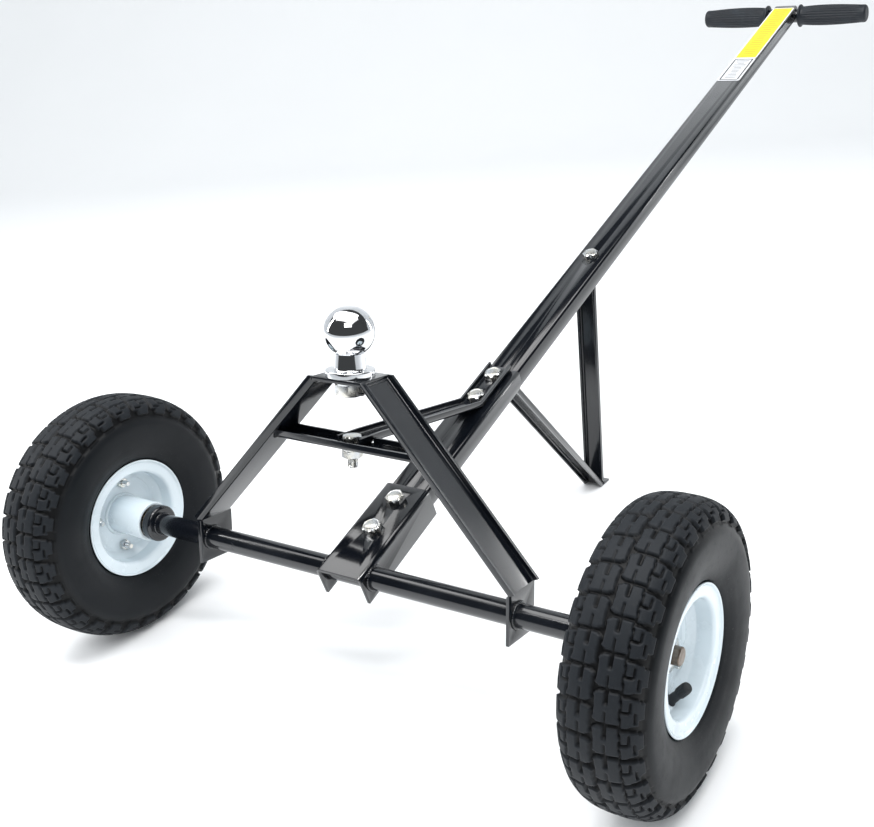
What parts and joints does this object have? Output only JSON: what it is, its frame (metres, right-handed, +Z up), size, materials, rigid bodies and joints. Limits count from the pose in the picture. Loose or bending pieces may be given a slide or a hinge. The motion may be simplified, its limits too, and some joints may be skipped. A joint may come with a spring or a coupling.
{
  "type": "trailer dolly",
  "caption": "Hand dolly for moving a trailer: pneumatic wheels on an axle, a ball on a braced frame, and a long beam with a T grip and a drop stand.",
  "frame": {"origin": "on the ground, in the middle of the dolly's length and width, as it stands on both tyres and its stand", "axes": "+X along the axle towards the wheel nearer the viewer, +Y back from the ball towards the handle, +Z up"},
  "size_m": [0.7074, 1.4339, 0.5609],
  "materials": {
    "black_coat": "gloss black powder coat with light scuffs",
    "white_coat": "white enamel, satin",
    "tyre_rubber": "matt black rubber",
    "tube_rubber": "black rubber",
    "grip_rubber": "ribbed matt black rubber",
    "black_cap": "moulded black",
    "chrome_ball": "polished chrome plate",
    "zinc": "bright zinc plate",
    "bare_steel": "turned steel, lightly oiled",
    "bearing_steel": "ground and polished",
    "cage_brass": "pressed sheet",
    "yellow_label": "printed film",
    "white_label": "printed film"
  },
  "bodies": {
    "root": {"axle_tube": "black_coat", "left_spindle": "bare_steel", "right_spindle": "bare_steel", "axle_collars": "black_coat", "centre_bracket": "black_coat", "left_leg": "black_coat", "right_leg": "black_coat", "top_plate": "black_coat", "crossbar": "black_coat", "brace_strap": "black_coat", "lower_beam": "black_coat", "handle_beam": "black_coat", "stand_front_leg": "black_coat", "stand_rear_leg": "black_coat", "handle_bar": "black_coat", "left_grip": "grip_rubber", "right_grip": "grip_rubber", "hitch_ball": "chrome_ball", "ball_lock_washer": "zinc", "ball_nut": "zinc", "frame_bolts": "zinc", "joint_bolts": "zinc", "frame_nuts": "zinc", "frame_washers": "zinc", "warning_label": "yellow_label", "info_label": "white_label", "axle_washers": "zinc", "cotter_pins": "zinc", "bearing_inner_races": "bearing_steel"},
    "left_wheel": {"left_tyre": "tyre_rubber", "left_inner_tube": "tube_rubber", "left_outer_rim_half": "white_coat", "left_inner_rim_half": "white_coat", "left_rim_bolts": "zinc", "left_rim_nuts": "zinc", "left_valve_stem": "tube_rubber", "left_valve_cap": "black_cap", "left_hub": "white_coat", "left_bearing_outer_races": "bearing_steel"},
    "right_wheel": {"right_tyre": "tyre_rubber", "right_inner_tube": "tube_rubber", "right_outer_rim_half": "white_coat", "right_inner_rim_half": "white_coat", "right_rim_bolts": "zinc", "right_rim_nuts": "zinc", "right_valve_stem": "tube_rubber", "right_valve_cap": "black_cap", "right_hub": "white_coat", "right_bearing_outer_races": "bearing_steel"},
    "left_bearing_cages": {"left_bearing_balls": "bearing_steel", "left_bearing_cages": "cage_brass"},
    "right_bearing_cages": {"right_bearing_balls": "bearing_steel", "right_bearing_cages": "cage_brass"}
  },
  "joints": [
    {"name": "left_wheel_spin", "type": "hinge", "parent": "root", "child": "left_wheel", "pos_m": [-0.3157, -0.58699, 0.13], "axis": [1, 0, 0], "continuous": true},
    {"name": "left_cage_spin", "type": "hinge", "parent": "root", "child": "left_bearing_cages", "pos_m": [-0.3157, -0.58699, 0.13], "axis": [1, 0, 0], "continuous": true},
    {"name": "right_wheel_spin", "type": "hinge", "parent": "root", "child": "right_wheel", "pos_m": [0.3157, -0.58699, 0.13], "axis": [1, 0, 0], "continuous": true},
    {"name": "right_cage_spin", "type": "hinge", "parent": "root", "child": "right_bearing_cages", "pos_m": [0.3157, -0.58699, 0.13], "axis": [1, 0, 0], "continuous": true}
  ],
  "couplings": [
    {"joint": "left_cage_spin", "follows": "left_wheel_spin", "ratio": 0.61784},
    {"joint": "right_cage_spin", "follows": "right_wheel_spin", "ratio": 0.61784}
  ]
}
